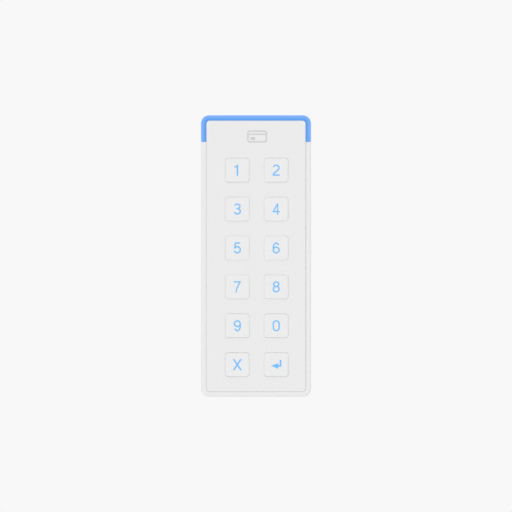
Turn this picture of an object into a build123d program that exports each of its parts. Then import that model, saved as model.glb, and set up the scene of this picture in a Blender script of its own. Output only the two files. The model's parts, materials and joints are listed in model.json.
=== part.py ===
from build123d import *
import os
from math import cos, radians, sin

# Keypad access reader, mullion width: a white two-part case on a wall plate, a lit bar round the top
# of its rim, and twelve backlit keys, each with its own travel.
#
# Every piece is drawn lying on its back: x across, y up the wall, z out from the wall, in millimetres.
# stand_up() then turns it upright, with +Z up, the keys facing -Y and the wall at Y = 0.

# ---- driving dimensions -------------------------------------------------------------------------

BODY_W, BODY_H = 43.0, 110.0
CORNER_R = 3.2
RIM = 2.1                       # width of the rim round the front cover
LEDGE_STEP = 1.4                # the case wall is this much thicker below the front cover's seal
INNER_R = 1.2                   # corners inside the rim
SHELL_GAP = 0.05                # line between the front cover and the rim
PLATE_GAP = 0.3                 # between the wall plate and the case round it
FIT_GAP = 0.05                  # line between parts that nest
TOUCH_GAP = 0.02                # air round a screw's shank

# heights above the wall
SKIRT_BACK = 0.2
PLATE_FRONT = 2.0
BACK_WALL = (3.6, 5.2)
MAIN_BOARD = (7.6, 8.8)
LIGHT_BAR_BACK = 12.4
KEY_BOARD = (12.6, 13.6)
LEDGE = 14.8
SEAL_TOP = 15.6
COVER_INNER = 17.2
RIM_FRONT = 18.6
COVER_FRONT = 19.0
KEY_TOP = 19.4

RIM_EDGE_R = 0.7
COVER_EDGE_R = 0.2
SKIRT_CHAMFER = 0.3

# lit bar
LIGHT_BAR_DROP = 10.5           # how far the bar's legs come down the sides
BAR_TAB = (5.0, 1.2)            # width and thickness of the tabs that face the lamps
BAR_TAB_Z = 13.4
BAR_TAB_X = (-9.6, -3.2, 3.2, 9.6)
LAMP_TO_TAB = 0.4

# keys
KEY_SIZE = 9.25
KEY_R = 1.05
KEY_EDGE_R = 0.2
KEY_GAP = 0.05                  # line round each key
KEY_PITCH = 15.18
KEYPAD_X = 0.3                  # the keypad sits a little to the right of the middle
KEY_TOP_ROW = 33.5              # y of the first row's centre
KEY_TRAVEL = 0.7
CORE_SIZE = 7.0                 # translucent inner moulding, inside the cap
CORE_TOP = 18.2
FLANGE_SIZE = 10.5              # what holds a key behind the cover
FLANGE = (16.35, 17.15)
KEYS = (
    ("1", "2"),
    ("3", "4"),
    ("5", "6"),
    ("7", "8"),
    ("9", "0"),
    ("cancel", "enter"),
)

# rubber boot, mat and snap domes under each key
BOOT_DISC_R, BOOT_POST_R = 3.2, 1.6
BOOT_DISC_BACK = 15.5
DOME_R, DOME_RISE, DOME_SHEET = 2.5, 0.4, 0.08
DOME_GAP_AT_END = 0.05
MAT_TOP = 14.4
MAT_HOLE = 7.8

# legends
GLYPH_H, GLYPH_W = 4.4, 2.85
PEN, THIN_PEN = 0.56, 0.5        # the thin one draws 4 and 7
CAP, WIDE = GLYPH_H / 2, GLYPH_W / 2
STROKE_TOP, STROKE_SIDE = CAP - PEN / 2, WIDE - PEN / 2

# plain pictogram of a card, above the keys
BADGE_SIZE, BADGE_R, BADGE_PEN = (7.7, 4.7), 0.9, 0.52
BADGE_AT = (0.45, 46.65)
BADGE_DEPTH = 0.15

# fastening
COVER_SCREWS = ((-15.2, 48.0), (15.2, 48.0), (-15.2, -49.0), (15.2, -49.0))
COVER_BOSS_R, COVER_SHANK_R, COVER_HEAD_R = 2.0, 1.0, 1.9
COVER_SCREW_LENGTH, COVER_HEAD_T = 10.0, 1.4
COVER_SCREW_AIR = 0.15          # round a cover screw, in the housing
COUNTERBORE = 0.8
POST_R = 2.4
BOARD_POSTS = ((-13.0, 36.0), (13.0, 36.0), (-13.0, -40.0), (13.0, -40.0))
PILLAR_R = 1.8
PILLARS = tuple((KEYPAD_X, y) for y in (41.0, 10.8, -19.7, -45.4))
BOARD_SHANK_R, BOARD_HEAD_R, BOARD_HEAD_T = 0.7, 1.5, 1.1
BOARD_SCREW_LENGTH = 3.4
BOARD_HOLE_R = 0.95
SECURITY_Z = 6.4
SECURITY_R, SECURITY_HEAD_R = 1.5, 2.8
SECURITY_HEAD_T, SECURITY_LENGTH = 1.6, 6.6
INSERT_R = 2.1
TAB_Y, TAB_W, TAB_FRONT = (-51.1, -48.2), 9.4, 9.2
HOOK_X, HOOK_W = 9.5, 5.0
HOOK_Y, HOOK_LIP_TOP = (47.6, 49.0), 50.2
HOOK_FRONT = 6.7
WALL_SLOT_PITCH, WALL_SLOT_R, WALL_SLOT_LENGTH = 84.0, 2.1, 8.0
WALL_SLOT_SINK = 0.9            # depth and width of the slots' countersink
PLATE_SKIN = 1.2                # the plate's thickness where its back is hollowed
PLATE_RIB = 1.4
PLATE_HOLLOWS_X = (8.6, 16.2)
PLATE_RIBS_Y = (-45.0, -31.5, -18.0, -4.5, 9.0, 22.5, 36.0)

# cable entry
CABLE_Y = -12.0
CABLE_R = 3.0
GROMMET_NECK_R, GROMMET_FLANGE_R = 4.4, 5.8
GROMMET = (2.7, 6.0)
PLATE_CABLE_R = 7.0
BOARD_CABLE_R = 5.4

# antenna
COIL_Y = 13.5
FORMER_SIZE, FORMER_WALL, FORMER_REACH = (32.0, 40.0), 0.8, 2.2
FORMER = (8.85, 12.35)
FORMER_FLANGE = 0.55


# ---- helpers --------------------------------------------------------------------------------------


def slab(width, height, z_low, z_high, radius=0.0, at=(0.0, 0.0)):
    """A rounded rectangle, centred on a point, between two heights."""
    outline = RectangleRounded(width, height, radius) if radius else Rectangle(width, height)
    return extrude(Pos(at[0], at[1], z_low) * outline, amount=z_high - z_low)


def disc(radius, z_low, z_high, at=(0.0, 0.0)):
    """A round bar standing on a point, between two heights."""
    return extrude(Pos(at[0], at[1], z_low) * Circle(radius), amount=z_high - z_low)


def block(x, y, z):
    """A square-edged block from three (low, high) pairs."""
    return Pos((x[0] + x[1]) / 2, (y[0] + y[1]) / 2, (z[0] + z[1]) / 2) * Box(
        x[1] - x[0], y[1] - y[0], z[1] - z[0]
    )


def front_edges(shape):
    """The edges that lie in a shape's front plane."""
    return shape.edges().group_by(Axis.Z)[-1]


def key_places():
    """Each key's legend with its centre."""
    for row, names in enumerate(KEYS):
        for column, name in enumerate(names):
            yield name, (KEYPAD_X + (column - 0.5) * KEY_PITCH, KEY_TOP_ROW - row * KEY_PITCH)


def inside_rim(gap=0.0):
    """Width, height and corner radius of the opening inside the rim, smaller by a gap all round."""
    return BODY_W - 2 * (RIM + gap), BODY_H - 2 * (RIM + gap), INNER_R


# ---- legends --------------------------------------------------------------------------------------


def stroke(*points, pen=PEN):
    """Straight pen strokes from point to point, with round joins."""
    parts = []
    for start, end in zip(points, points[1:]):
        line = Line(start, end)
        middle, angle = line @ 0.5, line.tangent_angle_at(0)
        parts.append(Pos(middle.X, middle.Y) * Rot(0, 0, angle) * Rectangle(line.length, pen))
    parts += [Pos(*point) * Circle(pen / 2) for point in points[1:-1]]
    return parts


def oval(x, y, rx, ry, start=0.0, sweep=360.0):
    """A pen stroke round an ellipse, from a start angle through a sweep, in degrees."""
    ring = Ellipse(rx + PEN / 2, ry + PEN / 2) - Ellipse(rx - PEN / 2, ry - PEN / 2)
    if sweep < 360:
        far, steps = 3 * GLYPH_H, 8
        angles = [radians(start + sweep * i / steps) for i in range(steps + 1)]
        sector = [(0.0, 0.0)] + [(far * cos(a), far * sin(a)) for a in angles]
        ring &= Polygon(*sector, align=None)
    return [Pos(x, y) * ring]


def six():
    """The figure 6, which turned over is also the 9."""
    bowl = 1.1
    return oval(0, bowl - STROKE_TOP, STROKE_SIDE, bowl) + oval(0, 0, STROKE_SIDE, STROKE_TOP, 48, 155)


def glyph(name):
    """The outline of a key's legend, centred on the key."""
    flat, low = STROKE_TOP, -STROKE_TOP
    upper = 0.87                # half height of the upper bowl of 3 and 8
    lower = STROKE_TOP - upper
    if name == "0":
        ring = SlotOverall(GLYPH_H, GLYPH_W) - SlotOverall(GLYPH_H - 2 * PEN, GLYPH_W - 2 * PEN)
        parts = [Rot(0, 0, 90) * ring]
    elif name == "1":
        left, right = -0.27, 0.35
        stem = ((left, -CAP), (right, -CAP), (right, CAP))
        flag = ((-0.1, CAP), (-0.45, 1.6), (-1.2, 1.44), (-1.2, 1.02), (left, 1.02))
        parts = [Polygon(*stem, *flag, align=None)]
    elif name == "2":
        parts = oval(0, 0.92, STROKE_SIDE - 0.05, flat - 0.92, -45, 211)
        parts += stroke((0.75, 0.23), (-0.98, -1.40), (-WIDE + 0.30, low))
        parts += stroke((-WIDE, low), (WIDE, low))
    elif name == "3":
        parts = oval(0, flat - upper, STROKE_SIDE - 0.12, upper, -90, 255)
        parts += oval(0, low + lower, STROKE_SIDE, lower, -168, 258)
        parts += stroke((-0.38, flat - 2 * upper), (0.05, flat - 2 * upper))
    elif name == "4":
        top = CAP - THIN_PEN / 2
        parts = stroke((0.52, -CAP), (0.52, top), (-1.22, -1.02), (WIDE, -1.02), pen=THIN_PEN)
        parts += [Pos(0.52, top) * Rectangle(THIN_PEN, THIN_PEN)]
    elif name == "5":
        middle = -0.72
        parts = stroke((1.12, flat), (-0.80, flat), (-1.04, -0.24))
        parts += oval(0, middle, STROKE_SIDE, middle - low, -162, 316)
    elif name == "6":
        parts = six()
    elif name == "7":
        top = CAP - THIN_PEN / 2
        tail = ((0.28, 0.35), (-0.22, -0.75), (-0.46, -CAP))
        parts = stroke((-WIDE, top), (1.12, top), *tail, pen=THIN_PEN)
    elif name == "8":
        parts = oval(0, flat - upper, STROKE_SIDE - 0.14, upper)
        parts += oval(0, low + lower, STROKE_SIDE, lower)
    elif name == "9":
        parts = [Rot(0, 0, 180) * part for part in six()]
    elif name == "cancel":
        wide, thick = 1.85, 0.73
        bar = ((wide, CAP), (wide - thick, CAP), (-wide, -CAP), (thick - wide, -CAP))
        other_bar = tuple((-x, y) for x, y in reversed(bar))
        parts = [Polygon(*bar, align=None), Polygon(*other_bar, align=None)]
    else:
        shaft_y, head_x, head_half = -0.5, 0.8, 1.12
        base = ((head_x, shaft_y - head_half), (head_x, shaft_y + head_half))
        parts = [Polygon((-2.05, shaft_y), *base, align=None)]
        parts += stroke((0.0, shaft_y), (1.68, shaft_y), (1.68, 1.85), pen=0.66)
    return Sketch() + parts


def badge_outline():
    """A bank-card pictogram: an outline, a stripe and a chip."""
    width, height = BADGE_SIZE
    outer = RectangleRounded(width, height, BADGE_R)
    frame = outer - RectangleRounded(width - 2 * BADGE_PEN, height - 2 * BADGE_PEN, BADGE_R - BADGE_PEN)
    stripe = Pos(0, 0.85) * Rectangle(width - BADGE_PEN, BADGE_PEN)
    chip = Pos(-1.7, -0.8) * RectangleRounded(1.9, 1.1, 0.2)
    return frame + stripe + chip


# ---- case -----------------------------------------------------------------------------------------


def body_envelope():
    """The outside of the reader's rim and sides, with its edges broken."""
    shape = slab(BODY_W, BODY_H, SKIRT_BACK, RIM_FRONT, CORNER_R)
    shape = fillet(front_edges(shape), RIM_EDGE_R)
    return chamfer(shape.edges().group_by(Axis.Z)[0], SKIRT_CHAMFER)


def light_bar_zone(gap=0.0):
    """The block of space, above the bar's ends and in front of its back, that the bar takes up."""
    return block(
        (-BODY_W, BODY_W),
        (BODY_H / 2 - LIGHT_BAR_DROP + gap, BODY_H),
        (LIGHT_BAR_BACK + gap, KEY_TOP + 1),
    )


def bar_tabs(gap=0.0):
    """The bar's four tabs, which reach in through the ledge to the lamps."""
    width, thick = BAR_TAB
    bottom = BODY_H / 2 - RIM - LEDGE_STEP
    return [
        block(
            (x - width / 2 - gap, x + width / 2 + gap),
            (bottom - gap, BODY_H / 2 - RIM + FIT_GAP),
            (BAR_TAB_Z - gap, BAR_TAB_Z + thick + gap),
        )
        for x in BAR_TAB_X
    ]


def make_light_bar():
    """U-shaped diffuser: the top of the rim and the start of both sides."""
    width, height, radius = inside_rim()
    bar = body_envelope() & light_bar_zone(FIT_GAP)
    bar -= slab(width + 2 * FIT_GAP, height + 2 * FIT_GAP, 0, KEY_TOP, radius)
    tabs = [tab & block((-BODY_W, BODY_W), (0, BODY_H), (0, RIM_FRONT)) for tab in bar_tabs()]
    return bar + tabs


def security_pocket():
    """The bottom pocket's outside and inside: it takes the wall plate's tab."""
    wall = 1.4
    reach = 0.2
    x = TAB_W / 2 + reach
    low, high = -BODY_H / 2 + RIM + LEDGE_STEP, TAB_Y[1] + reach
    outside = block((-x - wall, x + wall), (low - 1, high + wall), (BACK_WALL[0], TAB_FRONT + reach + wall))
    inside = block((-x, x), (low, high), (BACK_WALL[0] - 1, TAB_FRONT + reach))
    return outside, inside


def make_rear_housing():
    """Rear shell: rim, sides and back wall, with the pockets, posts and holes it needs."""
    width, height, radius = inside_rim()
    lower = (width - 2 * LEDGE_STEP, height - 2 * LEDGE_STEP)
    pocket_outside, pocket_inside = security_pocket()

    shell = body_envelope()
    shell -= slab(width, height, 0, BACK_WALL[0], radius)
    shell -= slab(*lower, BACK_WALL[1], LEDGE + 1, radius)
    shell -= slab(width, height, LEDGE, RIM_FRONT + 1, radius)
    shell -= light_bar_zone() - slab(width, height, 0, KEY_TOP + 2, radius)
    shell -= bar_tabs(FIT_GAP)

    shell += pocket_outside & slab(*lower, 0, LEDGE, radius)
    shell += [disc(POST_R, BACK_WALL[1] - 0.1, MAIN_BOARD[0], at) for at in BOARD_POSTS]
    shell -= pocket_inside
    pilot_depth = MAIN_BOARD[1] - BOARD_SCREW_LENGTH - 0.2
    shell -= [disc(BOARD_SHANK_R + TOUCH_GAP, pilot_depth, MAIN_BOARD[1], at) for at in BOARD_POSTS]

    for at in COVER_SCREWS:
        shell -= disc(COVER_SHANK_R + COVER_SCREW_AIR, 0, BACK_WALL[1] + 1, at)
        shell -= disc(COVER_HEAD_R + COVER_SCREW_AIR, 0, BACK_WALL[0] + COUNTERBORE, at)
    for side in (-1, 1):
        x = side * HOOK_X
        shell -= block(
            (x - HOOK_W / 2 - 0.2, x + HOOK_W / 2 + 0.2),
            (HOOK_Y[0] - (HOOK_LIP_TOP - HOOK_Y[1]) - 0.2, HOOK_Y[1] + 0.1),
            (BACK_WALL[0] - 1, BACK_WALL[1] + 1),
        )
    shell -= disc(GROMMET_NECK_R, 0, BACK_WALL[1] + 1, (0, CABLE_Y))
    shell -= disc(TAMPER_EYE_R, 0, BACK_WALL[1] + 1, TAMPER_AT)
    shell -= security_screw_space()
    return shell


def make_front_cover():
    """Front moulding: key openings, skirt down to the seal, screw bosses and board pillars."""
    width, height, radius = inside_rim(SHELL_GAP)
    face = slab(width, height, COVER_INNER, COVER_FRONT, radius)
    face = fillet(front_edges(face), COVER_EDGE_R)
    opening = KEY_SIZE + 2 * KEY_GAP
    for _, at in key_places():
        face -= slab(opening, opening, COVER_INNER - 1, COVER_FRONT + 1, KEY_R + KEY_GAP, at)
    face = fillet(
        [
            edge
            for edge in front_edges(face)
            if abs(edge.center().X) < width / 2 - 1 and abs(edge.center().Y) < height / 2 - 1
        ],
        KEY_GAP,
    )

    inner = (width - 2 * LEDGE_STEP, height - 2 * LEDGE_STEP)
    skirt = slab(width, height, SEAL_TOP, COVER_INNER, radius)
    cover = face + (skirt - slab(*inner, 0, COVER_INNER, radius))
    for at in COVER_SCREWS:
        cover += disc(COVER_BOSS_R, BACK_WALL[1] + FIT_GAP, COVER_INNER, at)
        pilot_end = BACK_WALL[0] + COUNTERBORE + COVER_SCREW_LENGTH + 0.3
        cover -= disc(COVER_SHANK_R + TOUCH_GAP, 0, pilot_end, at)
    for at in PILLARS:
        cover += disc(PILLAR_R, KEY_BOARD[1], COVER_INNER, at)
        pilot_end = KEY_BOARD[0] + BOARD_SCREW_LENGTH + 0.2
        cover -= disc(BOARD_SHANK_R + TOUCH_GAP, 0, pilot_end, at)
    return cover - make_badge()


def make_badge():
    """Card pictogram, let into the cover's face."""
    return extrude(Pos(*BADGE_AT, COVER_FRONT - BADGE_DEPTH) * badge_outline(), amount=BADGE_DEPTH)


def make_cover_seal():
    """Silicone seal between the housing's ledge and the cover's skirt."""
    width, height, radius = inside_rim(SHELL_GAP)
    band = 1.2
    seal = slab(width, height, LEDGE, SEAL_TOP, radius)
    return seal - slab(width - 2 * band, height - 2 * band, 0, KEY_TOP, radius / 2)


def plate_hollows():
    """Shallow pockets in the wall plate's back that leave it a frame and ribs, like a moulded plate."""
    near, far = PLATE_HOLLOWS_X
    hollows = []
    for low, high in zip(PLATE_RIBS_Y, PLATE_RIBS_Y[1:]):
        for x in ((-far, -near), (near, far)):
            y = (low + PLATE_RIB / 2, high - PLATE_RIB / 2)
            hollows.append(block(x, y, (-1, PLATE_FRONT - PLATE_SKIN)))
    return hollows


def make_wall_plate():
    """Plate that is screwed to the wall: slots, cable hole, two hooks and the bottom tab."""
    width, height, radius = inside_rim(PLATE_GAP)
    plate = slab(width, height, 0, PLATE_FRONT, radius)
    plate -= plate_hollows()
    slot = Rot(0, 0, 90) * SlotOverall(WALL_SLOT_LENGTH, 2 * WALL_SLOT_R)
    hole = extrude(slot, amount=PLATE_FRONT)
    hole += extrude(Pos(0, 0, PLATE_FRONT) * offset(slot, WALL_SLOT_SINK), amount=-WALL_SLOT_SINK, taper=45)
    for y in (-WALL_SLOT_PITCH / 2, WALL_SLOT_PITCH / 2):
        plate -= Pos(0, y, 0) * hole
    plate -= disc(PLATE_CABLE_R, -1, PLATE_FRONT + 1, (0, CABLE_Y))
    for side in (-1, 1):
        x = (side * HOOK_X - HOOK_W / 2, side * HOOK_X + HOOK_W / 2)
        plate += block(x, HOOK_Y, (PLATE_FRONT - 1, HOOK_FRONT))
        plate += block(x, (HOOK_Y[0], HOOK_LIP_TOP), (BACK_WALL[1] + 0.1, HOOK_FRONT))
    plate += block((-TAB_W / 2, TAB_W / 2), TAB_Y, (PLATE_FRONT - 1, TAB_FRONT))
    plate -= along_y(INSERT_R, TAB_Y[0] - 1, TAB_Y[1] + 1)
    return plate


# ---- fasteners ------------------------------------------------------------------------------------


def along_y(radius, low, high):
    """A round bar that runs up the wall at the security screw's height."""
    return Pos(0, (low + high) / 2, SECURITY_Z) * Rot(90, 0, 0) * Cylinder(radius, high - low)


def countersunk(head_r, shank_r, head_t, bottom):
    """A countersunk head's cone, pointing up the wall from its face."""
    cone = Cone(head_r, shank_r, head_t)
    return Pos(0, bottom + head_t / 2, SECURITY_Z) * Rot(-90, 0, 0) * cone


def security_screw_space():
    """Countersink and clearance hole in the bottom of the housing."""
    bottom = -BODY_H / 2
    hole = along_y(SECURITY_R + 0.1, bottom - 1, TAB_Y[0] + 0.1)
    sink = countersunk(SECURITY_HEAD_R + FIT_GAP, SECURITY_R + 0.1, SECURITY_HEAD_T + FIT_GAP, bottom)
    return hole + sink


def make_security_screw():
    """Countersunk screw with a pinned six-lobe recess, up into the wall plate's tab."""
    bottom = -BODY_H / 2 + 0.1
    screw = countersunk(SECURITY_HEAD_R - 0.1, SECURITY_R - FIT_GAP, SECURITY_HEAD_T, bottom)
    screw += along_y(SECURITY_R - FIT_GAP, bottom + SECURITY_HEAD_T - 0.1, bottom + SECURITY_LENGTH)
    lobes = [Rot(0, 0, 60 * i) * Pos(0.85, 0) * Circle(0.36) for i in range(6)]
    recess = Circle(0.95) + lobes - Circle(0.4)
    start = Pos(0, bottom - 0.1, SECURITY_Z) * Rot(-90, 0, 0)
    return screw - start * extrude(recess, amount=1.2)


def make_thread_insert():
    """Brass insert in the wall plate's tab, with two knurled bands."""
    middle = (TAB_Y[0] + TAB_Y[1]) / 2
    insert = along_y(INSERT_R - TOUCH_GAP, *TAB_Y)
    insert -= along_y(INSERT_R, middle - 0.3, middle + 0.3) - along_y(INSERT_R - 0.3, -BODY_H, 0)
    return insert - along_y(SECURITY_R, TAB_Y[0] - 1, TAB_Y[1] + 1)


def pan_screw(shank_r, length, head_r, head_t, height, at):
    """Pan-head screw with a cross recess, pointing out from the wall, its head's underside at a height."""
    head = disc(head_r, height - head_t, height, at)
    head = fillet(head.edges().group_by(Axis.Z)[0], head_t * 0.4)
    screw = head + disc(shank_r, height, height + length, at)
    arm, wide = head_r * 1.15, head_r * 0.3
    for size in ((arm, wide), (wide, arm)):
        screw -= slab(*size, height - head_t - 1, height - head_t * 0.4, at=at)
    return screw


def flipped(screw, height):
    """The same screw turned to point at the wall, about a height."""
    return Pos(0, 0, 2 * height) * screw.mirror(Plane.XY)


def make_cover_screws():
    """Four long screws, from the back wall into the front cover's bosses."""
    seat = BACK_WALL[0] + COUNTERBORE
    sizes = (COVER_SHANK_R, COVER_SCREW_LENGTH, COVER_HEAD_R, COVER_HEAD_T)
    return [pan_screw(*sizes, seat, at) for at in COVER_SCREWS]


def make_board_screws():
    """Eight short screws: four hold the main board down, four hold the key board to the cover."""
    sizes = (BOARD_SHANK_R, BOARD_SCREW_LENGTH, BOARD_HEAD_R, BOARD_HEAD_T)
    main = [flipped(pan_screw(*sizes, MAIN_BOARD[1], at), MAIN_BOARD[1]) for at in BOARD_POSTS]
    return main + [pan_screw(*sizes, KEY_BOARD[0], at) for at in PILLARS]


# ---- electronics ----------------------------------------------------------------------------------

MAIN_BOARD_SIZE = (33.2, 89.0)
TAMPER_AT, TAMPER_EYE_R = (-10.0, -26.0), 1.5
LINK_Y = -35.5
CONNECTOR_Y, CONNECTOR_SIZE = -26.0, (16.0, 6.0, 3.0)
BUZZER_AT, BUZZER_R, BUZZER_H = (-6.0, 20.5), 4.5, 2.9
CHIPS = (((5.5, 4.0), 7.0, 1.0), ((6.0, 20.0), 5.0, 0.9))
CAPACITOR_AT, CAPACITOR_R, CAPACITOR_H = (12.2, -14.0), 2.0, 3.2
LAMP_SIZE = (1.6, 0.8, 0.6)
LAMP_UP = 3.0                   # a key's lamp sits this far above its dome's centre


def make_main_board():
    """Main circuit board, with a hole that the cable's cores come through."""
    board = slab(*MAIN_BOARD_SIZE, *MAIN_BOARD, 1.0)
    board -= disc(BOARD_CABLE_R, 0, KEY_TOP, (0, CABLE_Y))
    return board - [disc(BOARD_HOLE_R, 0, KEY_TOP, at) for at in BOARD_POSTS]


def key_board_outline():
    """Board outline that leaves its corners free for the cover's bosses."""
    half_w, half_h = 17.4, 51.2
    corner_x, top, bottom = 12.9, 45.7, -46.7
    right = (
        (corner_x, -half_h),
        (corner_x, bottom),
        (half_w, bottom),
        (half_w, top),
        (corner_x, top),
        (corner_x, half_h),
    )
    left = tuple((-x, y) for x, y in reversed(right))
    return Polygon(*right, *left, align=None)


def make_key_board():
    """Key board: carries the domes and all the lamps, and hangs from the cover's pillars."""
    board = extrude(Pos(0, 0, KEY_BOARD[0]) * key_board_outline(), amount=KEY_BOARD[1] - KEY_BOARD[0])
    return board - [disc(BOARD_HOLE_R, 0, KEY_TOP, at) for at in PILLARS]


def make_chips():
    """Controller and radio chips."""
    return [
        chamfer(front_edges(slab(side, side, MAIN_BOARD[1], MAIN_BOARD[1] + thick, at=at)), 0.12)
        for at, side, thick in CHIPS
    ]


def make_board_parts():
    """Reservoir capacitor, crystal and two rows of small chip parts."""
    top = MAIN_BOARD[1]
    base = slab(2 * CAPACITOR_R + 0.3, 2 * CAPACITOR_R + 0.3, top, top + 0.4, 0.5, CAPACITOR_AT)
    can = disc(CAPACITOR_R, top + 0.4, top + CAPACITOR_H, CAPACITOR_AT)
    can = fillet(front_edges(can), 0.35)
    crystal = slab(3.2, 2.5, top, top + 0.8, 0.4, (-4.5, 7.5))
    rows = [
        slab(0.8, 1.6, top, top + 0.5, at=(-9.0 + 2.1 * i, y))
        for y in (1.5, -2.4)
        for i in range(5)
    ]
    return [base + can, crystal] + rows


def make_buzzer():
    """Round sounder with its sound hole."""
    body = disc(BUZZER_R, MAIN_BOARD[1], MAIN_BOARD[1] + BUZZER_H, BUZZER_AT)
    body = fillet(front_edges(body), 0.3)
    return body - disc(0.8, MAIN_BOARD[1] + BUZZER_H - 1.0, KEY_TOP, BUZZER_AT)


def make_cable_connector():
    """Eight-way socket for the cable's cores, with its mouth towards the cable hole."""
    width, depth, height = CONNECTOR_SIZE
    top = MAIN_BOARD[1]
    body = slab(width, depth, top, top + height, at=(0, CONNECTOR_Y))
    mouth_y = (CONNECTOR_Y - depth / 2 + 1.4, CONNECTOR_Y + depth / 2 + 1)
    body -= block((-width / 2 + 0.7, width / 2 - 0.7), mouth_y, (top + 0.6, top + height - 0.6))
    pins = [
        block((x - 0.2, x + 0.2), (CONNECTOR_Y - depth / 2 + 1, CONNECTOR_Y + 1.5), (top + 1.3, top + 1.7))
        for x in (-5.95 + 1.7 * i for i in range(8))
    ]
    return body + pins


def make_board_link():
    """Ten-way header that joins the two boards."""
    body = slab(13.2, 4.6, MAIN_BOARD[1], KEY_BOARD[0], at=(0, LINK_Y))
    waist_z = (MAIN_BOARD[1] + 1.6, KEY_BOARD[0] - 1.6)
    for side in (-1, 1):
        y = LINK_Y + side * 2.3
        body -= block((-BODY_W, BODY_W), (y - 0.4, y + 0.4), waist_z)
    return body


def make_tamper_sensor():
    """Optical sensor that looks out through the back wall at the wall plate."""
    x, y = TAMPER_AT
    body = slab(3.2, 2.8, MAIN_BOARD[0] - 1.2, MAIN_BOARD[0], at=TAMPER_AT)
    return body - [disc(0.5, 0, MAIN_BOARD[0] - 0.9, (x + side * 0.75, y)) for side in (-1, 1)]


def make_antenna_former():
    """Bobbin frame: an upright wall between two flanges, open outwards."""
    width, height = FORMER_SIZE
    wall_w, wall_h = width - 2 * FORMER_REACH, height - 2 * FORMER_REACH
    low, high = FORMER
    at = (0, COIL_Y)
    former = slab(width, height, low, low + FORMER_FLANGE, 3.0, at)
    former += slab(width, height, high - FORMER_FLANGE, high, 3.0, at)
    former += slab(wall_w, wall_h, low, high, 2.0, at)
    return former - slab(wall_w - 2 * FORMER_WALL, wall_h - 2 * FORMER_WALL, 0, KEY_TOP, 1.5, at)


def make_antenna_coil():
    """Copper winding in the former's channel."""
    width, height = (side - 2 * FORMER_REACH for side in FORMER_SIZE)
    depth = FORMER_REACH - 0.3
    low, high = FORMER[0] + FORMER_FLANGE, FORMER[1] - FORMER_FLANGE
    coil = slab(width + 2 * depth, height + 2 * depth, low + FIT_GAP, high - FIT_GAP, 2.8, (0, COIL_Y))
    return coil - slab(width + 2 * FIT_GAP, height + 2 * FIT_GAP, 0, KEY_TOP, 2.0 + FIT_GAP, (0, COIL_Y))


def make_lamps():
    """Sixteen lamps on the key board: one for each key, and four that face the bar's tabs."""
    width, depth, height = LAMP_SIZE
    top = KEY_BOARD[1]
    lamps = [slab(width, depth, top, top + height, at=(x, y + LAMP_UP)) for _, (x, y) in key_places()]
    bar_y = BODY_H / 2 - RIM - LEDGE_STEP - LAMP_TO_TAB - depth / 2
    return lamps + [slab(width * 2, depth, top, top + height, at=(x, bar_y)) for x in BAR_TAB_X]


def make_cable_grommet():
    """Rubber grommet in the back wall, gripped between its two flanges."""
    at = (0, CABLE_Y)
    low, high = GROMMET
    grommet = disc(GROMMET_NECK_R - TOUCH_GAP, low, high, at)
    grommet += disc(GROMMET_FLANGE_R, low, BACK_WALL[0], at)
    grommet += disc(GROMMET_FLANGE_R, BACK_WALL[1], high, at)
    return grommet - disc(CABLE_R, 0, KEY_TOP, at)


# ---- keys -----------------------------------------------------------------------------------------


def make_key_core(name, at):
    """Translucent inner moulding: flange, light guide and the legend that comes up through the cap."""
    x, y = at
    core = slab(FLANGE_SIZE, FLANGE_SIZE, *FLANGE, 1.2, at)
    core += slab(CORE_SIZE, CORE_SIZE, FLANGE[1], CORE_TOP, 0.6, at)
    return core + extrude(Pos(x, y, CORE_TOP) * glyph(name), amount=KEY_TOP - CORE_TOP)


def make_key_cap(core, at):
    """Opaque outer moulding, shot over the core."""
    cap = slab(KEY_SIZE, KEY_SIZE, FLANGE[1], KEY_TOP, KEY_R, at)
    return fillet(front_edges(cap), KEY_EDGE_R) - core


def make_key_boot(at):
    """Rubber actuator under a key: a disc that lifts the key and a post that meets the dome."""
    dome_top = KEY_BOARD[1] + DOME_RISE
    post = disc(BOOT_POST_R, dome_top + DOME_GAP_AT_END + KEY_TRAVEL, BOOT_DISC_BACK, at)
    return post + disc(BOOT_DISC_R, BOOT_DISC_BACK, FLANGE[0], at)


def make_snap_domes():
    """Twelve thin steel domes on the key board."""
    ball = (DOME_R**2 + DOME_RISE**2) / (2 * DOME_RISE)
    sheet = Sphere(ball) - Sphere(ball - DOME_SHEET)
    dome = Pos(0, 0, DOME_RISE - ball) * sheet & slab(3 * DOME_R, 3 * DOME_R, 0, 2 * DOME_RISE)
    return [Pos(x, y, KEY_BOARD[1]) * dome for _, (x, y) in key_places()]


def make_keypad_mat():
    """Silicone sheet on the key board, open at each boot and pillar."""
    side, top, bottom = 12.7, 39.4, -48.2
    mat = slab(2 * side, top - bottom, KEY_BOARD[1], MAT_TOP, 1.5, (0, (top + bottom) / 2))
    mat -= [slab(MAT_HOLE, MAT_HOLE, 0, KEY_TOP, 1.0, at) for _, at in key_places()]
    return mat - [disc(PILLAR_R + 0.3, 0, KEY_TOP, at) for at in PILLARS]


# ---- assembly -------------------------------------------------------------------------------------


def stand_up(shape):
    """Turns a piece, or a list of pieces, from lying on its back to upright against the wall."""
    solids = [solid for piece in (shape if isinstance(shape, list) else [shape]) for solid in piece.solids()]
    turned = [Rot(90, 0, 0) * solid for solid in solids]
    return turned[0] if len(turned) == 1 else Compound(children=turned)


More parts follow.
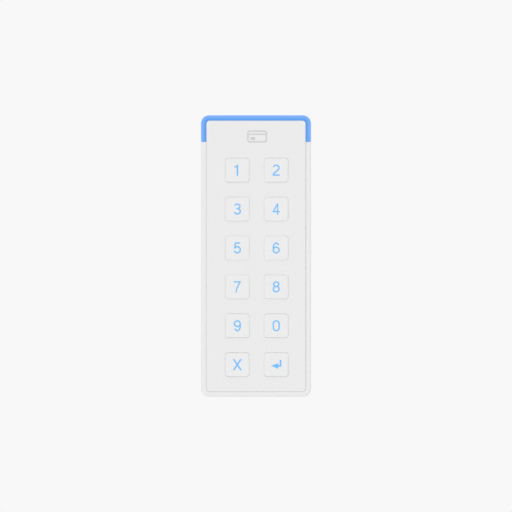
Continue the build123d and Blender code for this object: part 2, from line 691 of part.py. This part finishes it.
def all_nodes():
    """Every node's name with its piece or pieces."""
    nodes = {
        "rear_housing": make_rear_housing(),
        "front_cover": make_front_cover(),
        "light_bar": make_light_bar(),
        "card_badge": make_badge(),
        "cover_seal": make_cover_seal(),
        "wall_plate": make_wall_plate(),
        "thread_insert": make_thread_insert(),
        "security_screw": make_security_screw(),
        "cover_screws": make_cover_screws(),
        "board_screws": make_board_screws(),
        "main_board": make_main_board(),
        "board_chips": make_chips(),
        "board_parts": make_board_parts(),
        "buzzer": make_buzzer(),
        "cable_connector": make_cable_connector(),
        "board_link": make_board_link(),
        "tamper_sensor": make_tamper_sensor(),
        "antenna_former": make_antenna_former(),
        "antenna_coil": make_antenna_coil(),
        "cable_grommet": make_cable_grommet(),
        "key_board": make_key_board(),
        "key_board_lamps": make_lamps(),
        "snap_domes": make_snap_domes(),
        "keypad_mat": make_keypad_mat(),
    }
    for name, at in key_places():
        core = make_key_core(name, at)
        nodes[f"key_{name}_core"] = core
        nodes[f"key_{name}_cap"] = make_key_cap(core, at)
        nodes[f"key_{name}_boot"] = make_key_boot(at)
    return nodes


os.makedirs("parts", exist_ok=True)
for node_name, piece in all_nodes().items():
    export_step(stand_up(piece), f"parts/{node_name}.step")
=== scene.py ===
"""Looks of the keypad access reader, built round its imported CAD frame."""

import json
import math

import bmesh
import bpy
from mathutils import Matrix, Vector


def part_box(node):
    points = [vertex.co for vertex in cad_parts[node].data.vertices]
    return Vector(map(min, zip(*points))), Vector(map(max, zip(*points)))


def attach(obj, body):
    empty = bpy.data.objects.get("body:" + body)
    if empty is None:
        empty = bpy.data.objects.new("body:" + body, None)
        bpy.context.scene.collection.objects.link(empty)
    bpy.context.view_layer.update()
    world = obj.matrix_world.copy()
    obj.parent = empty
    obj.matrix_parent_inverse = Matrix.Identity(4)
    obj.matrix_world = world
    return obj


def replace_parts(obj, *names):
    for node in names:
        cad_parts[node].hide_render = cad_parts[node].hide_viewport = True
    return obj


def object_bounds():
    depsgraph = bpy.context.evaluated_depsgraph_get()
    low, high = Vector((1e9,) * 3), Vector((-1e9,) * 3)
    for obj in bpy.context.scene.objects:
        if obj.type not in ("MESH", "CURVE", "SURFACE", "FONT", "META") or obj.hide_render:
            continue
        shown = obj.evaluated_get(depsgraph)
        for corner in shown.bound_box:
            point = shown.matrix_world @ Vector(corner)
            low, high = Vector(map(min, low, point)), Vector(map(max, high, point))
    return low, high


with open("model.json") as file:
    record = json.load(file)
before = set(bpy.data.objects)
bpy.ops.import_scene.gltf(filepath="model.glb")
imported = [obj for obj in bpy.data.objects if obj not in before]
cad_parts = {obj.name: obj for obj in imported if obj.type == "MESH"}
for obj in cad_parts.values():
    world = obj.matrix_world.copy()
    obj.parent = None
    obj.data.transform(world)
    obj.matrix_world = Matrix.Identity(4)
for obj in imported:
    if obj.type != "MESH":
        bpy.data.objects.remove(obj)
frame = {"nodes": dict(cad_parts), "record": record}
CAD_LOW, CAD_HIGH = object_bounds()
CAD_SIZE = CAD_HIGH - CAD_LOW
MM = 0.001
SAME_PLACE = 0.001 * MM         # points nearer than this count as one
Y_AXIS, Z_AXIS = 1, 2           # places in a point

# ---- the scene's few driving values -------------------------------------------------------------

OBJECT_SHARE = 0.5503           # of the picture's height that the reader fills
LENS, SENSOR = 200.0, 36.0
FLOOR_Z, STAGE_R = -0.45, 4.0
BACKDROP = 0.9387               # linear grey that the backdrop and the floor both show
CORNER_R = 3.2 * MM             # of the reader's outline
SKY = 0.76                      # soft light from all round


# ---- node materials -----------------------------------------------------------------------------


class Nodes:
    """A small helper that adds shader nodes to one material and links them."""

    def __init__(self, name):
        self.material = bpy.data.materials.new(name)
        self.material.use_nodes = True
        self.tree = self.material.node_tree
        self.shader = self.tree.nodes["Principled BSDF"]
        self.place = self.add("ShaderNodeTexCoord").outputs["Object"]

    def add(self, kind, **settings):
        node = self.tree.nodes.new(kind)
        for key, value in settings.items():
            setattr(node, key, value)
        return node

    def feed(self, source, target):
        """Links a socket, or sets a plain value, on a target socket."""
        if isinstance(source, bpy.types.NodeSocket):
            self.tree.links.new(source, target)
        else:
            target.default_value = source

    def axes(self):
        """The place's X, Y and Z, by name."""
        node = self.add("ShaderNodeSeparateXYZ")
        self.feed(self.place, node.inputs[0])
        return node.outputs

    def math(self, operation, first, second=0.0):
        node = self.add("ShaderNodeMath", operation=operation)
        self.feed(first, node.inputs[0])
        self.feed(second, node.inputs[1])
        return node.outputs[0]

    def noise(self, size, detail=2.0, roughness=0.5):
        """Noise whose features are about a size across, in metres."""
        node = self.add("ShaderNodeTexNoise")
        self.feed(self.place, node.inputs["Vector"])
        node.inputs["Scale"].default_value = 1 / size
        node.inputs["Detail"].default_value = detail
        node.inputs["Roughness"].default_value = roughness
        return node.outputs["Fac"]

    def between(self, factor, low, high, from_low=0.0, from_high=1.0):
        """Maps a factor to a range of numbers."""
        node = self.add("ShaderNodeMapRange")
        self.feed(factor, node.inputs["Value"])
        for socket, value in zip(node.inputs[1:5], (from_low, from_high, low, high)):
            socket.default_value = value
        return node.outputs["Result"]

    def mix(self, factor, first, second):
        """Mixes two colours."""
        node = self.add("ShaderNodeMix", data_type="RGBA")
        self.feed(factor, node.inputs[0])
        for source, socket in ((first, node.inputs[6]), (second, node.inputs[7])):
            self.feed(source if isinstance(source, bpy.types.NodeSocket) else (*source, 1), socket)
        return node.outputs[2]

    def bump(self, height, depth):
        """Surface relief from a height, whose full range is a depth in metres."""
        node = self.add("ShaderNodeBump")
        node.inputs["Distance"].default_value = depth
        self.feed(height, node.inputs["Height"])
        self.feed(node.outputs["Normal"], self.shader.inputs["Normal"])

    def finish(self, **sockets):
        """Sets sockets of the shader by name, and returns the material."""
        for key, value in sockets.items():
            self.feed(value, self.shader.inputs[key.replace("_", " ").title()])
        return self.material


def shade(color, factor):
    """A colour made darker or lighter."""
    return tuple(c * factor for c in color)


def moulded(name, color, grain=0.14 * MM, relief=3e-6, rough=(0.42, 0.54), mottle=0.012):
    """Moulded plastic with a fine eroded texture, faint flow mottling and uneven gloss."""
    n = Nodes(name)
    cloud = n.noise(9 * MM, 3.0)
    tint = n.mix(cloud, shade(color, 1 - mottle), shade(color, 1 + mottle))
    n.bump(n.noise(grain, 3.0, 0.6), relief)
    return n.finish(base_color=tint, roughness=n.between(n.noise(1.1 * MM, 2.0), *rough))


def rubber(name, color):
    """Soft matte rubber, a little dusty."""
    n = Nodes(name)
    tint = n.mix(n.noise(2.5 * MM, 4.0), shade(color, 0.92), shade(color, 1.1))
    n.bump(n.noise(0.12 * MM, 2.0), 4e-6)
    return n.finish(base_color=tint, roughness=n.between(n.noise(0.8 * MM), 0.6, 0.78))


def metal(name, color, rough=(0.2, 0.36), grain=0.08 * MM):
    """Plated or bare metal with fine machining marks."""
    n = Nodes(name)
    tint = n.mix(n.noise(1.2 * MM, 3.0), shade(color, 0.9), shade(color, 1.05))
    n.bump(n.noise(grain, 2.0), 1.2e-6)
    n.shader.inputs["Metallic"].default_value = 1.0
    return n.finish(base_color=tint, roughness=n.between(n.noise(0.5 * MM), *rough))


def circuit_board(name, mask=(0.018, 0.11, 0.06), copper=(0.03, 0.19, 0.10)):
    """Solder mask over copper: a lattice of tracks, raised a little, with bare patches between."""
    spacing, half_width = 0.45 * MM, 0.11 * MM
    wander, bare_share = 1.1 * MM, 0.52
    n = Nodes(name)
    axes = n.axes()
    step_aside = n.math("SNAP", n.between(n.noise(7 * MM, 0.0), -wander, wander), spacing)
    tracks = []
    for axis, patches_per_metre in (("X", 130.0), ("Z", 95.0)):
        wave = n.math("PINGPONG", n.math("ADD", axes[axis], step_aside), spacing)
        line = n.math("LESS_THAN", wave, half_width)
        covered = n.math("GREATER_THAN", n.noise(1 / patches_per_metre), bare_share)
        tracks.append(n.math("MULTIPLY", line, covered))
    copper_here = n.math("MAXIMUM", *tracks)
    n.bump(copper_here, 12e-6)
    tint = n.mix(copper_here, mask, copper)
    return n.finish(base_color=tint, roughness=n.between(n.noise(0.6 * MM), 0.22, 0.34))


def light_bar_material(name):
    """Lit diffuser: paler at the rim's outer edge, deeper towards the front cover and the back; the
    deepening towards the cover is painted shade, ending in a painted shadow line along the cover.
    """
    pale_to, deep_from, front_band, back_fade = 0.2 * MM, 2.05 * MM, 1.2 * MM, 0.78
    n = Nodes(name)
    axes = n.axes()
    low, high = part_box("light_bar")

    # how far in a point lies from the outline, whose corners are round
    over_x = n.math("SUBTRACT", n.math("ABSOLUTE", axes["X"]), high.x - CORNER_R)
    over_z = n.math("SUBTRACT", axes["Z"], high.z - CORNER_R)
    past_x, past_z = n.math("MAXIMUM", over_x, 0.0), n.math("MAXIMUM", over_z, 0.0)
    past = n.math("SQRT", n.math("ADD", n.math("POWER", past_x, 2.0), n.math("POWER", past_z, 2.0)))
    short = n.math("MINIMUM", n.math("MAXIMUM", over_x, over_z), 0.0)
    depth = n.math("SUBTRACT", n.math("SUBTRACT", CORNER_R, past), short)

    # the ramp's deepening inward is painted shade, and its darkest last stop is a painted shadow
    # line where the rim meets the front cover
    ramp = n.add("ShaderNodeValToRGB")
    n.feed(n.between(depth, 0.0, 1.0, pale_to, deep_from), ramp.inputs[0])
    stops = (
        (0.0, (0.190, 0.397, 0.892)),
        (0.46, (0.128, 0.350, 0.830)),
        (0.94, (0.050, 0.292, 0.785)),
        (1.0, (0.030, 0.180, 0.500)),
    )
    for position, _ in stops[1:-1]:
        ramp.color_ramp.elements.new(position)
    for element, (_, color) in zip(ramp.color_ramp.elements, stops):
        element.color = (*color, 1)

    fade = n.between(axes["Y"], 1.0, back_fade, low.y + front_band, high.y)
    cloud = n.math("MULTIPLY", fade, n.between(n.noise(4 * MM, 2.0), 0.985, 1.015))
    glow = n.add("ShaderNodeMix", data_type="RGBA", blend_type="MULTIPLY")
    glow.inputs[0].default_value = 1.0
    n.feed(ramp.outputs[0], glow.inputs[6])
    n.feed(cloud, glow.inputs[7])
    n.bump(n.noise(0.2 * MM, 2.0), 1.5e-6)
    n.shader.inputs["Emission Strength"].default_value = 1.0
    n.shader.inputs["Base Color"].default_value = (0.02, 0.03, 0.06, 1)
    rough = n.between(n.noise(1.0 * MM), 0.3, 0.4)
    return n.finish(emission_color=glow.outputs[2], roughness=rough)


def legend_material(name):
    """Translucent moulding: light blue where lamplight fills the legend, milky below the cap, where
    a pale grey glow is painted light that brightens the gaps round the keys.
    """
    n = Nodes(name)
    legend = n.math("LESS_THAN", n.axes()["Y"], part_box("front_cover")[0].y)
    blue = n.mix(n.noise(1.6 * MM, 1.0), (0.100, 0.414, 0.812), (0.126, 0.444, 0.842))
    n.shader.inputs["Emission Strength"].default_value = 1.0
    return n.finish(
        base_color=n.mix(legend, (0.78, 0.79, 0.80), (0.05, 0.08, 0.12)),
        # below the cap, the grey glow is painted light that fills the shade in the gaps round the
        # keys
        emission_color=n.mix(legend, (0.50, 0.51, 0.52), blue),
        roughness=n.between(n.noise(0.6 * MM), 0.35, 0.45),
    )


def lamp_material(name):
    """Small lamps: ceramic body with a lit lens."""
    n = Nodes(name)
    glow = n.mix(n.noise(0.5 * MM, 2.0), (0.25, 0.55, 1.0), (0.4, 0.7, 1.0))
    ceramic = n.mix(n.noise(0.3 * MM), (0.8, 0.8, 0.7), (0.9, 0.9, 0.8))
    n.shader.inputs["Emission Strength"].default_value = 2.0
    return n.finish(base_color=ceramic, emission_color=glow)


WHITE = (0.845, 0.845, 0.848)
SLOT_MATERIALS = {
    "case_white": moulded("case_white_look", WHITE),
    "cover_white": moulded("cover_white_look", WHITE),
    "key_white": moulded(
        "key_white_look",
        shade(WHITE, 1.01),
        grain=0.2 * MM,
        relief=1.2e-6,
        rough=(0.36, 0.46),
        mottle=0.006,
    ),
    "bar_blue": light_bar_material("bar_blue_look"),
    "legend_blue": legend_material("legend_blue_look"),
    "badge_grey": moulded(
        "badge_grey_look",
        (0.62, 0.62, 0.625),
        grain=0.2 * MM,
        relief=1.2e-6,
        rough=(0.4, 0.5),
        mottle=0.01,
    ),
    "seal_rubber": rubber("seal_rubber_look", (0.55, 0.56, 0.57)),
    "mat_rubber": rubber("mat_rubber_look", (0.74, 0.74, 0.72)),
    "grommet_black": rubber("grommet_black_look", (0.03, 0.03, 0.03)),
    "plate_grey": moulded(
        "plate_grey_look",
        (0.52, 0.53, 0.54),
        grain=0.25 * MM,
        relief=5e-6,
        rough=(0.5, 0.64),
        mottle=0.02,
    ),
    "insert_brass": metal("insert_brass_look", (0.80, 0.58, 0.26)),
    "screw_steel": metal("screw_steel_look", (0.62, 0.63, 0.65)),
    "dome_steel": metal("dome_steel_look", (0.72, 0.72, 0.74), rough=(0.14, 0.24)),
    "coil_copper": metal("coil_copper_look", (0.72, 0.30, 0.13), rough=(0.2, 0.3)),
    "board_green": circuit_board("board_green_look"),
    "chip_black": moulded(
        "chip_black_look",
        (0.018, 0.018, 0.02),
        grain=0.1 * MM,
        relief=3e-6,
        rough=(0.45, 0.6),
        mottle=0.1,
    ),
    "part_tan": moulded(
        "part_tan_look",
        (0.42, 0.33, 0.22),
        grain=0.1 * MM,
        relief=2e-6,
        rough=(0.35, 0.5),
        mottle=0.1,
    ),
    "connector_ivory": moulded(
        "connector_ivory_look",
        (0.78, 0.74, 0.62),
        grain=0.2 * MM,
        relief=2e-6,
        rough=(0.4, 0.5),
        mottle=0.02,
    ),
    "former_natural": moulded(
        "former_natural_look",
        (0.72, 0.72, 0.68),
        grain=0.2 * MM,
        relief=2e-6,
        rough=(0.4, 0.5),
        mottle=0.02,
    ),
    "lamp_white": lamp_material("lamp_white_look"),
}


def dress_nodes():
    """Gives every CAD node the material of its record slot."""
    for part in frame["record"]["subparts"]:
        node = frame["nodes"][part["node"]]
        for slot in node.material_slots:
            slot.material = SLOT_MATERIALS[part["material_slot"]]


# ---- detail pieces ------------------------------------------------------------------------------


def add_piece(name, points, faces, slot, smooth=True):
    """Makes a mesh piece of the reader with the material of a record slot."""
    mesh = bpy.data.meshes.new(name)
    mesh.from_pydata(points, [], faces)
    mesh.materials.append(SLOT_MATERIALS[slot])
    if smooth:
        mesh.shade_smooth()
    else:
        mesh.shade_flat()
    piece = bpy.data.objects.new(name, mesh)
    bpy.context.scene.collection.objects.link(piece)
    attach(piece, "reader")
    return piece


def ring_faces(first, second):
    """Quads between two closed rings of point numbers."""
    return [(first[i], first[i - 1], second[i - 1], second[i]) for i in range(len(first))]


def islands(node):
    """The loose parts of a CAD node's mesh, each a list of points."""
    builder = bmesh.new()
    builder.from_mesh(frame["nodes"][node].data)
    bmesh.ops.remove_doubles(builder, verts=builder.verts, dist=SAME_PLACE)
    seen, parts = set(), []
    for first in builder.verts:
        if first in seen:
            continue
        seen.add(first)
        part = [first]
        for vert in part:
            near = [edge.other_vert(vert) for edge in vert.link_edges]
            fresh = [other for other in near if other not in seen]
            seen.update(fresh)
            part.extend(fresh)
        parts.append([vert.co.copy() for vert in part])
    builder.free()
    return parts


def make_winding():
    """The antenna's wire, wound round the former: each outer turn stands out as a half round."""
    low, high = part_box("antenna_coil")
    turns, depth, corner, steps = 7, 1.85 * MM, 2.8 * MM, 8
    wire_r = (high.y - low.y) / turns / 2
    section = [(-depth, low.y)]
    for turn in range(turns):
        middle = low.y + (2 * turn + 1) * wire_r
        for step in range(steps + 1):
            angle = math.pi * (step / steps - 0.5)
            section.append((wire_r * (math.cos(angle) - 1), middle + wire_r * math.sin(angle)))
    section.append((-depth, high.y))

    points, rings = [], []
    for quarter in range(4):
        across = (1, -1, -1, 1)[quarter]
        upward = (1, 1, -1, -1)[quarter]
        x = (low.x + high.x) / 2 + across * ((high.x - low.x) / 2 - corner)
        z = (low.z + high.z) / 2 + upward * ((high.z - low.z) / 2 - corner)
        for step in range(steps + 1):
            angle = math.pi / 2 * (quarter + step / steps)
            rings.append(range(len(points), len(points) + len(section)))
            points += [
                (x + (corner + out) * math.cos(angle), y, z + (corner + out) * math.sin(angle))
                for out, y in section
            ]
    faces = [face for i, ring in enumerate(rings) for face in ring_faces(rings[i - 1], ring)]
    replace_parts(add_piece("antenna_winding", points, faces, "coil_copper"), "antenna_coil")


def find_shank(screw, along, across):
    """A screw's centre, its shank's radius, and where along its axis the shank starts and ends."""
    low = Vector([min(point[i] for point in screw) for i in range(3)])
    high = Vector([max(point[i] for point in screw) for i in range(3)])
    middle = (low + high) / 2

    def off_axis(point):
        return math.hypot(*(point[i] - middle[i] for i in across))

    widest = max(screw, key=off_axis)
    way = 1 if widest[along] < middle[along] else -1
    tip = (high if way > 0 else low)[along]
    shank_r = max(off_axis(point) for point in screw if abs(point[along] - tip) < SAME_PLACE)
    head_from = (off_axis(widest) + shank_r) / 2
    neck = way * max(way * point[along] for point in screw if off_axis(point) > head_from)
    return middle, shank_r, neck, tip


def make_threads(name, node, along, pitch, tooth):
    """A helical thread round the shank of every screw in a CAD node, from its neck to its tip."""
    turn_steps, fade_steps = 24, 12
    root, flank = 0.05 * MM, 0.4 * pitch
    across = [axis for axis in range(3) if axis != along]
    points, faces = [], []
    for screw in islands(node):
        middle, shank_r, neck, tip = find_shank(screw, along, across)
        way = 1 if tip > neck else -1
        length = abs(tip - neck) - 2 * pitch
        steps = int(length / pitch * turn_steps)
        rings = []
        for step in range(steps + 1):
            angle = 2 * math.pi * step / turn_steps
            fade = min(1.0, step / fade_steps, (steps - step) / fade_steps)
            centre = neck + way * (pitch + length * step / steps)
            profile = ((-root, -flank), (tooth * fade, 0.0), (-root, flank))
            rings.append(range(len(points), len(points) + len(profile)))
            for reach, shift in profile:
                radius = shank_r + reach
                point = [0.0, 0.0, 0.0]
                point[along] = centre + way * shift
                point[across[0]] = middle[across[0]] + radius * math.cos(angle)
                point[across[1]] = middle[across[1]] + radius * math.sin(angle) * way
                points.append(point)
        for first, second in zip(rings, rings[1:]):
            faces += ring_faces(first, second)
        faces += [tuple(rings[0]), tuple(reversed(rings[-1]))]
    add_piece(name, points, faces, "screw_steel")


def make_chip_leads():
    """Bent leads on all four sides of each chip, down to the main board."""
    board_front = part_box("main_board")[0].y
    pitch, wide, thick, reach = 0.5 * MM, 0.22 * MM, 0.12 * MM, 0.85 * MM
    root, shoulder, slant, bend, rise = -0.1 * MM, 0.3 * MM, 0.15 * MM, 0.1 * MM, 0.4 * MM
    bare_corner = 0.5 * MM
    section = (
        (root, rise),
        (shoulder, rise),
        (shoulder + slant, 0.0),
        (reach, 0.0),
        (reach, thick),
        (shoulder + slant + bend, thick),
        (shoulder + bend, rise + thick),
        (root, rise + thick),
    )
    points, faces = [], []
    for chip in islands("board_chips"):
        xs, zs = [point.x for point in chip], [point.z for point in chip]
        centre = ((min(xs) + max(xs)) / 2, (min(zs) + max(zs)) / 2)
        half = (max(xs) - min(xs)) / 2
        count = int((2 * half - 2 * bare_corner) / pitch)
        for turn in ((1, 0), (0, 1), (-1, 0), (0, -1)):
            for number in range(count):
                along = (number - (count - 1) / 2) * pitch
                ends = []
                for edge in (along - wide / 2, along + wide / 2):
                    ends.append(range(len(points), len(points) + len(section)))
                    for out, up in section:
                        far = half + out
                        x = centre[0] + far * turn[0] - edge * turn[1]
                        z = centre[1] + far * turn[1] + edge * turn[0]
                        points.append((x, board_front - up, z))
                faces += ring_faces(*ends) + [tuple(ends[0]), tuple(reversed(ends[1]))]
    add_piece("chip_leads", points, faces, "dome_steel", smooth=False)


# ---- stage, light and camera --------------------------------------------------------------------


def make_world():
    """Even, soft light from all round."""
    world = bpy.data.worlds.new("studio")
    world.use_nodes = True
    background = world.node_tree.nodes["Background"]
    background.inputs["Color"].default_value = (SKY, SKY, SKY, 1)
    background.inputs["Strength"].default_value = 1.0
    bpy.context.scene.world = world


def make_stage():
    """A wide pale floor, some way below the reader, and a pale backdrop all round that meets it.

    Both only show behind the reader: its light comes from the sky and the lamps.
    """
    n = Nodes("stage_look")
    n.shader.inputs["Specular IOR Level"].default_value = 0.0
    n.shader.inputs["Emission Strength"].default_value = 1.0
    pale = n.finish(base_color=(0, 0, 0, 1), emission_color=(BACKDROP, BACKDROP, BACKDROP, 1))
    for name, low in (("floor", FLOOR_Z), ("backdrop", 0.0)):
        builder = bmesh.new()
        if name == "floor":
            bmesh.ops.create_circle(builder, cap_ends=True, segments=64, radius=STAGE_R)
        else:
            bmesh.ops.create_uvsphere(builder, u_segments=64, v_segments=32, radius=STAGE_R)
        mesh = bpy.data.meshes.new(name)
        builder.to_mesh(mesh)
        builder.free()
        mesh.materials.append(pale)
        piece = bpy.data.objects.new(name, mesh)
        piece.location.z = low
        piece.visible_diffuse = False
        piece.visible_glossy = False
        piece.visible_shadow = False
        bpy.context.scene.collection.objects.link(piece)


SUNS = (
    # name, azimuth and elevation that the light comes from, strength, spread
    ("key_light", -38.0, -6.0, 0.545, 60.0),
    ("fill_light", 40.0, -6.0, 0.26, 70.0),
    ("top_light", 0.0, 75.0, 0.26, 60.0),
    ("back_light", 160.0, 35.0, 0.50, 50.0),
)


def towards(azimuth, elevation):
    """Unit vector from the reader out towards a direction. Azimuth 0 is in front of the keys."""
    a, e = math.radians(azimuth), math.radians(elevation)
    return Vector((math.sin(a) * math.cos(e), -math.cos(a) * math.cos(e), math.sin(e)))


def make_lights():
    """One soft sun for each entry of the list."""
    for name, azimuth, elevation, power, spread in SUNS:
        data = bpy.data.lights.new(name, "SUN")
        data.energy = power
        data.angle = math.radians(spread)
        sun = bpy.data.objects.new(name, data)
        sun.rotation_mode = "QUATERNION"
        sun.rotation_quaternion = towards(azimuth, elevation).to_track_quat("Z", "Y")
        bpy.context.scene.collection.objects.link(sun)


def make_camera():
    """Long lens, level with the reader's middle and square on to the keys."""
    data = bpy.data.cameras.new("camera")
    data.lens, data.sensor_width = LENS, SENSOR
    camera = bpy.data.objects.new("camera", data)
    seen_height = CAD_SIZE.z / OBJECT_SHARE
    rim_front = Vector((0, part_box("rear_housing")[0].y, (CAD_LOW.z + CAD_HIGH.z) / 2))
    back = towards(0.0, 0.0)
    camera.location = rim_front + back * (seen_height * LENS / SENSOR)
    camera.rotation_mode = "QUATERNION"
    camera.rotation_quaternion = back.to_track_quat("Z", "Y")
    bpy.context.scene.collection.objects.link(camera)
    bpy.context.scene.camera = camera


dress_nodes()
make_winding()
make_threads("cover_screw_threads", "cover_screws", along=Y_AXIS, pitch=0.9 * MM, tooth=0.22 * MM)
make_threads("board_screw_threads", "board_screws", along=Y_AXIS, pitch=0.55 * MM, tooth=0.15 * MM)
make_threads(
    "security_screw_thread", "security_screw", along=Z_AXIS, pitch=0.5 * MM, tooth=0.14 * MM
)
make_chip_leads()
make_world()
make_stage()
make_lights()
make_camera()
bpy.context.scene.view_settings.view_transform = "Standard"
